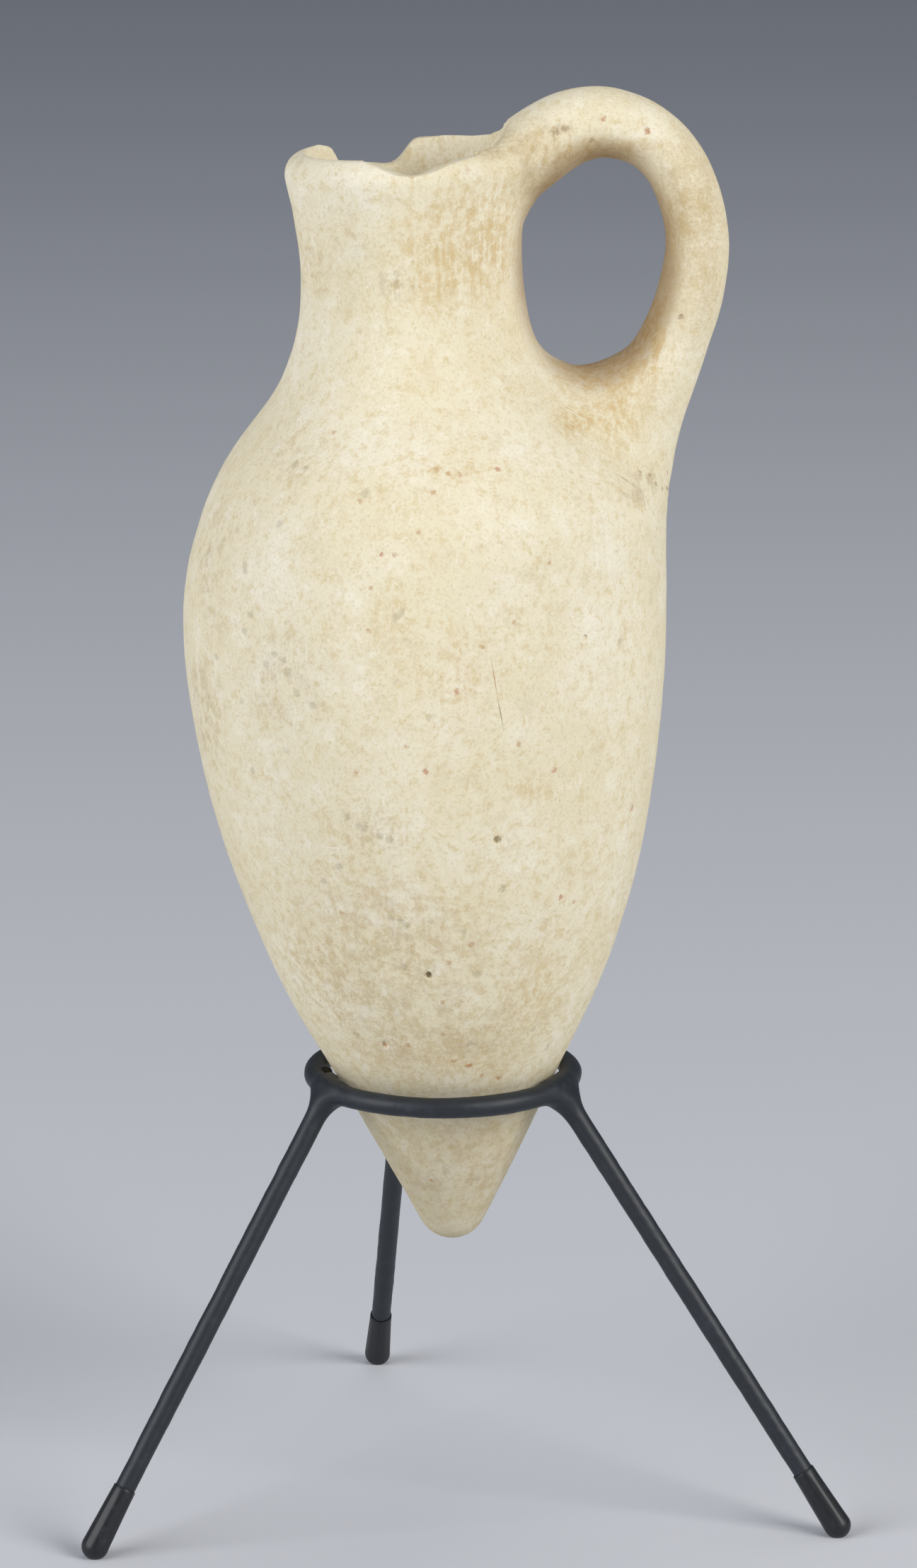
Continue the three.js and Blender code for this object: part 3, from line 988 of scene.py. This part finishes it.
def makeRing():
    middle = ringCentre() + Vector((0, 0, stand["ringHeight"]))
    turns, sides = stand["ringSides"], stand["rodSides"]
    verts, faces = [], []
    for i in range(turns):
        t = i * 2 * math.pi / turns
        out = Vector((math.cos(t), math.sin(t), 0))
        here, following = i * sides, (i + 1) % turns * sides
        for k in range(sides):
            s = k * 2 * math.pi / sides
            section = out * math.cos(s) + Vector((0, 0, 1)) * math.sin(s)
            verts.append(middle + out * stand["ringRadius"] + section * stand["rod"])
            beside = (k + 1) % sides
            faces.append((here + k, following + k, following + beside, here + beside))
    return np.array([tuple(v) for v in verts]), faces


def makeStand(material):
    thing = makeObject("rod_stand", *makeRing(), material)
    for side in stand["legs"]:
        combine(thing, makeObject("leg", *makeLeg(side)), "UNION")
    remesh = thing.modifiers.new("remesh", "REMESH")
    remesh.mode = "VOXEL"
    remesh.voxel_size = stand["voxel"] * mm
    applyModifiers(thing)
    points, edges = getPoints(thing), getEdges(thing)
    weight, rounds = stand["evenOut"]
    points = relax(points, edges, np.full(len(points), weight), rounds)
    for side, reach in stand["fillets"].items():
        apart = np.linalg.norm(points - np.array(legEnds(side)[1]), axis=1)
        chosen = np.where(apart < stand["filletReach"])[0]
        joinSmoothly(points, edges, chosen, ringField, legField(side), reach, stand["filletAlong"])
    setPoints(thing, points)
    push = unevenness(points, stand["lumps"])
    setPoints(thing, points + getNormals(thing) * push[:, None])
    thing.data.polygons.foreach_set("use_smooth", [True] * len(thing.data.polygons))
    thing.data.materials.clear()
    thing.data.materials.append(material)
    print("stand:", len(thing.data.polygons), "faces")
    return thing


def coatingMaterial():
    material, shader, place = newMaterial("blackCoating")
    dust = place.cloud(2.5, 4, 0.7).rise(0.5, 0.8)
    grain = place.cloud(0.3, 2, 0.6)
    colour = (dust * stand["dusty"]).between(stand["colour"], stand["dust"])
    rust = place.nearest(rustPlaces(), stand["rustRadius"]) * grain.rise(0.4, 0.6)
    colour = colour.tinted(rust, stand["rust"], stand["rusty"])
    roughness, added = stand["roughness"]
    normal = grain.bumped(*stand["bump"])
    link(shader, {"Base Color": colour, "Normal": normal, "Roughness": roughness + dust * added})
    return material


def rustPlaces():
    # on the ring's inner side, beside the left leg
    middle = ringCentre() + Vector((0, 0, stand["ringHeight"] + stand["rustAbove"]))
    places = []
    for turn in stand["rustTurns"]:
        out = Vector((math.cos(math.radians(turn)), math.sin(math.radians(turn)), 0))
        places.append(tuple(middle + out * (stand["ringRadius"] - stand["rustInward"])))
    return places


# Caps of the feet

cap = {
    "length": 11.5,
    "foot": 2.03,
    "mouth": 1.7,
    "snug": 1.6,            # radius of the hole at the mouth, just wider than the rod
    "grip": 0.7,            # how deep that snug hole is
    "collar": 0.5,          # straight stretch below the mouth
    "bevel": (0.06, 0.04),  # along the cap and across it
    "sides": 72,
    "domeRows": 10,
    "wallRows": 12,
    "flutes": 9,
    "fluteDepth": 0.05,
    "fluteStart": (1.0, 3.5),      # heights between which the flutes fade in
    "fluteEnd": (0.4, 1.8),        # depths below the mouth between which they fade out
    "plainEnd": 1.5,        # no flutes at all within this depth
    "colour": "12161A",
    "dusty": 0.2,
    "roughness": (0.42, 0.25),
}


def capOutline():
    foot, mouth, top = cap["foot"], cap["mouth"], cap["length"]
    outline = []
    for k in range(1, cap["domeRows"] + 1):
        turn = k / cap["domeRows"] * math.pi / 2
        outline.append((foot * (1 - math.cos(turn)), foot * math.sin(turn)))
    for k in range(1, cap["wallRows"]):
        share = k / cap["wallRows"]
        outline.append((foot + (top - foot) * share, foot + (mouth - foot) * share))
    down, inward = cap["bevel"]
    outline += [(top - cap["collar"], mouth), (top - down, mouth), (top, mouth - inward)]
    hole, grip, snug = stand["spigot"] + stand["gap"], top - cap["grip"], cap["snug"]
    return outline + [(top, snug), (grip, snug), (grip, hole), (foot, hole)]


def fluted(verts):
    # faint flutes down the outside of a cap
    x, y, height = verts.T
    below = cap["length"] - height
    outer = (np.hypot(x, y) > stand["spigot"] + 2 * stand["gap"]) & (below > cap["plainEnd"])
    along = smoothStep(height, *cap["fluteStart"]) * smoothStep(below, *cap["fluteEnd"])
    wave = 0.5 + 0.5 * np.cos(cap["flutes"] * np.arctan2(y, x))
    verts[:, :2] *= (1 - cap["fluteDepth"] / cap["foot"] * outer * along * wave)[:, None]
    return verts


def makeCap(side, material):
    verts, faces = turned(capOutline(), cap["sides"])
    placed = onLeg(side, fluted(verts))
    placed[:, 2] = np.maximum(placed[:, 2], 0)
    thing = makeObject("cap_" + side, placed, faces, material)
    thing.data.polygons.foreach_set("use_smooth", [True] * len(thing.data.polygons))
    return thing


def rubberMaterial():
    material, shader, place = newMaterial("blackRubber")
    scuff = place.cloud(1.2, 4, 0.7).rise(0.52, 0.8)
    colour = (scuff * cap["dusty"]).between(cap["colour"], stand["dust"])
    roughness, added = cap["roughness"]
    link(shader, {"Base Color": colour, "Roughness": roughness + scuff * added})
    return material


# Floor and lights

studio = {
    "floor": "D5D8DE",
    "floorRoughness": 0.85,
    "floorSpan": (-6000, 6000, -3000, 9000),          # left, right, near, far
    "world": (0.80, 0.86, 1.0, 1.0),
    "worldStrength": 0.18,
    # name: place, size, power, colour; all point at the juglet
    "lights": {
        "key": ((1.15, -0.9, 0.85), 0.9, 19.8, (1.0, 0.98, 0.95)),
        "fill": ((-1.25, -0.78, 0.7), 1.2, 18.0, (0.98, 0.98, 1.0)),
        "top": ((0.1, 0.4, 1.5), 0.8, 2.0, (1.0, 0.98, 0.95)),
    },
    "aim": (0.0, -0.01, 0.12),
}


def makeStudio():
    left, right, near, far = studio["floorSpan"]
    corners = [(left, near, 0), (right, near, 0), (right, far, 0), (left, far, 0)]
    floor = makeObject("floor", corners, [(0, 1, 2, 3)])
    material, shader, _ = newMaterial("paleFloor")
    shader.inputs["Base Color"].default_value = paint(studio["floor"])
    shader.inputs["Roughness"].default_value = studio["floorRoughness"]
    floor.data.materials.append(material)
    for name, (place, size, power, colour) in studio["lights"].items():
        data = bpy.data.lights.new(name, "AREA")
        data.size = size
        data.energy = power
        data.color = colour
        light = bpy.data.objects.new(name, data)
        light.location = place
        ahead = Vector(studio["aim"]) - Vector(place)
        light.rotation_euler = ahead.to_track_quat("-Z", "Y").to_euler()
        bpy.context.scene.collection.objects.link(light)
    world = bpy.data.worlds.new("studio")
    world.use_nodes = True
    world.node_tree.nodes["Background"].inputs[0].default_value = studio["world"]
    world.node_tree.nodes["Background"].inputs[1].default_value = studio["worldStrength"]
    bpy.context.scene.world = world


bpy.context.scene.view_settings.view_transform = "Standard"
makeCamera()
makeStudio()
print("camera and studio are set")

clayJuglet, clayTree = makeJuglet()
clayJuglet.data.materials.clear()
clayJuglet.data.materials.append(clayMaterial(lambda pixel: tuple(surfaceAt(clayTree, pixel)[0])))
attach(clayJuglet, "root")
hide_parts("juglet")

rodStand = makeStand(coatingMaterial())
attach(rodStand, "root")
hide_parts("stand_frame")

rubber = rubberMaterial()
for side in stand["legs"]:
    footCap = makeCap(side, rubber)
    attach(footCap, "root")
    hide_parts("foot_cap_" + side)
print("stand and caps are made")
